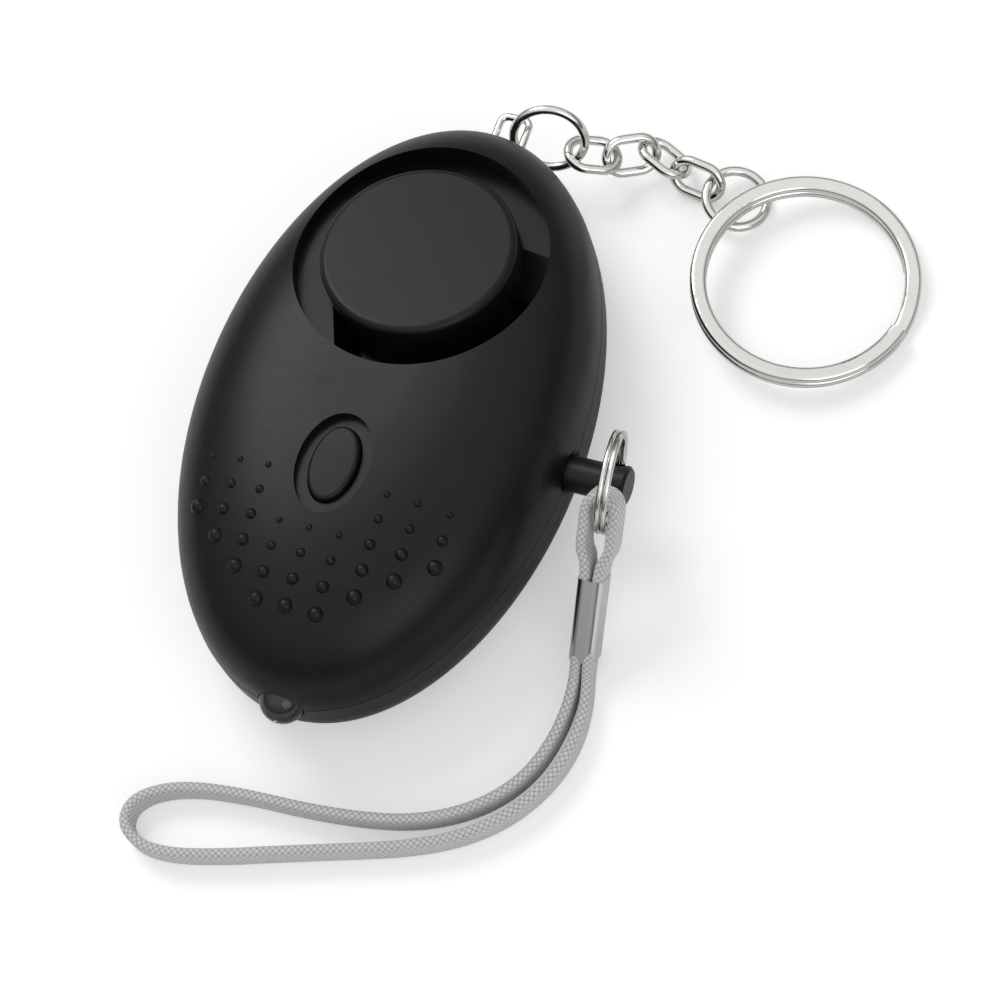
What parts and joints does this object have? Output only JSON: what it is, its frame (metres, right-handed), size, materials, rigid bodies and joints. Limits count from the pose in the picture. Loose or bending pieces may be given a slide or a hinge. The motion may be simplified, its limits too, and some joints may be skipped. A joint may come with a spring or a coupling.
{
  "type": "personal safety alarm",
  "caption": "Egg-shaped keychain siren with pull pin on a braided wrist strap, light button, clear lamp, grip dots, link chain and split key ring.",
  "frame": {"origin": "middle of the case's flat back, which lies on the table", "axes": "+Z out of the front face, +Y towards the chain's end, +X towards the side of the pull pin"},
  "size_m": [0.07, 0.0942, 0.0213],
  "materials": {
    "case": "fine satin, moulded black",
    "button": "satin black",
    "pin_plastic": "semi-gloss black",
    "screw_steel": "zinc plated",
    "switch_stem": "black",
    "switch_body": "dark grey",
    "board": "green solder mask",
    "chip": "black epoxy",
    "ferrite": "dark ferrite",
    "copper": "enamelled wire",
    "contact_metal": "nickel plated",
    "clear_lens": "clear, polished",
    "sounder_brass": "black lacquer over brass",
    "ceramic": "silvered ceramic",
    "lead_cover": "insulation",
    "bright_metal": "nickel plated, bright",
    "ferrule_metal": "polished",
    "braid": "grey woven braid",
    "cell_steel": "polished steel can"
  },
  "bodies": {
    "housing": {"front_shell": "case", "rear_shell": "case", "case_screws": "screw_steel", "tact_switch": "switch_body", "circuit_board": "board", "driver_chip": "chip", "transistor": "chip", "chip_resistors": "chip", "coil_core": "ferrite", "coil_winding": "copper", "positive_contact": "contact_metal", "negative_contact": "contact_metal", "contact_spring": "contact_metal", "led_lens": "clear_lens", "led_frame": "contact_metal", "upper_contact_leaf": "contact_metal", "lower_contact_leaf": "contact_metal", "piezo_plate": "sounder_brass", "piezo_ceramic": "ceramic", "piezo_leads": "lead_cover", "chain_bail": "bright_metal", "button_cell_1": "cell_steel", "button_cell_2": "cell_steel", "button_cell_3": "cell_steel"},
    "button": {"light_button": "button", "switch_stem": "switch_stem"},
    "pin": {"pull_pin": "pin_plastic"},
    "ring": {"pin_ring": "bright_metal"},
    "strap": {"strap_eye": "braid", "ferrule": "ferrule_metal", "wrist_strap": "braid"},
    "chain_a": {"jump_ring_a": "bright_metal"},
    "link_1": {"chain_link_1": "bright_metal"},
    "link_2": {"chain_link_2": "bright_metal"},
    "link_3": {"chain_link_3": "bright_metal"},
    "link_4": {"chain_link_4": "bright_metal"},
    "chain_b": {"jump_ring_b": "bright_metal"},
    "key_ring": {"key_ring": "bright_metal"}
  },
  "joints": [
    {"name": "light_button_press", "type": "slide", "parent": "housing", "child": "button", "axis": [0, 0, -1], "range_m": [0, 0.0005], "stiffness_N_per_m": 800, "springref_m": -0.0005},
    {"name": "pin_pull", "type": "slide", "parent": "housing", "child": "pin", "axis": [1, 0, 0], "range_m": [0, 0.019]},
    {"name": "pin_ring_turn", "type": "hinge", "parent": "pin", "child": "ring", "pos_m": [0.02677, -0.0032, 0.01369], "axis": [-0.9872, -0.0985, 0.1253], "range_deg": [0, 110]},
    {"name": "strap_swing", "type": "hinge", "parent": "ring", "child": "strap", "pos_m": [0.02714, -0.00816, 0.01277], "axis": [-0.1408, 0.1698, -0.9754], "range_deg": [-3, 10]},
    {"name": "chain_swivel", "type": "hinge", "parent": "housing", "child": "chain_a", "pos_m": [0.00131, 0.03625, 0.0091], "axis": [0, 0, 1], "range_deg": [-8, 40]},
    {"name": "link_1_turn", "type": "hinge", "parent": "chain_a", "child": "link_1", "pos_m": [0.00852, 0.03678, 0.00586], "axis": [0.4651, 0.4365, 0.7702], "range_deg": [-8, 25]},
    {"name": "link_2_turn", "type": "hinge", "parent": "link_1", "child": "link_2", "pos_m": [0.01207, 0.03823, 0.00405], "axis": [-0.4077, 0.9103, -0.0709], "range_deg": [-8, 25]},
    {"name": "link_3_turn", "type": "hinge", "parent": "link_2", "child": "link_3", "pos_m": [0.01578, 0.04044, 0.003], "axis": [-0.1308, 0.5964, 0.7919], "range_deg": [-8, 25]},
    {"name": "link_4_turn", "type": "hinge", "parent": "link_3", "child": "link_4", "pos_m": [0.01946, 0.03875, 0.00244], "axis": [0.2622, 0.7653, -0.5878], "range_deg": [-8, 25]},
    {"name": "chain_b_turn", "type": "hinge", "parent": "link_4", "child": "chain_b", "pos_m": [0.02394, 0.03807, 0.00206], "axis": [0.1493, 0.5119, 0.846], "range_deg": [-8, 25]},
    {"name": "key_ring_flip", "type": "hinge", "parent": "chain_b", "child": "key_ring", "pos_m": [0.02762, 0.03637, 0.00355], "axis": [-0.626, -0.7738, 0.097], "range_deg": [-1, 100]}
  ]
}
